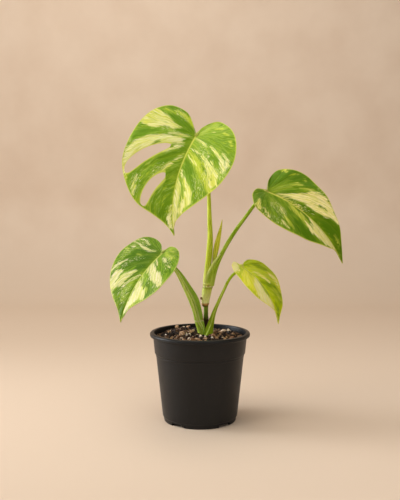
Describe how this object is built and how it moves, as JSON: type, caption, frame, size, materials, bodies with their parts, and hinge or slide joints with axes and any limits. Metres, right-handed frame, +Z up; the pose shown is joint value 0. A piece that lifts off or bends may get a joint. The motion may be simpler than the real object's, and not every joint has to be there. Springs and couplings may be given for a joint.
{
  "type": "potted variegated monstera",
  "caption": "Young climbing aroid with large variegated heart-shaped leaves on arching stalks, growing in a tapered plastic nursery pot filled with bark mix.",
  "frame": {"origin": "centre of the pot's base, where it rests", "axes": "+Z up, -Y towards the front, the side the largest leaf faces"},
  "size_m": [0.2689, 0.1427, 0.3693],
  "materials": {
    "pot_plastic": "satin black moulded plastic",
    "potting_mix": "moist bark chips, coir and perlite",
    "stem_tissue": "smooth waxy yellow-green stalk",
    "dry_sheath": "dry brown fibrous husk",
    "leaf_tissue": "semi-gloss leaf, green marbled with lime and cream"
  },
  "bodies": {
    "root": {"pot": "pot_plastic", "potting_mix": "potting_mix", "main_stem": "stem_tissue", "dry_husk": "dry_sheath", "petiole_top": "stem_tissue", "petiole_right": "stem_tissue", "petiole_low_left": "stem_tissue", "petiole_low_right": "stem_tissue", "new_leaf": "stem_tissue", "blade_top": "leaf_tissue", "blade_right": "leaf_tissue", "blade_low_left": "leaf_tissue", "blade_low_right": "leaf_tissue"}
  },
  "joints": []
}
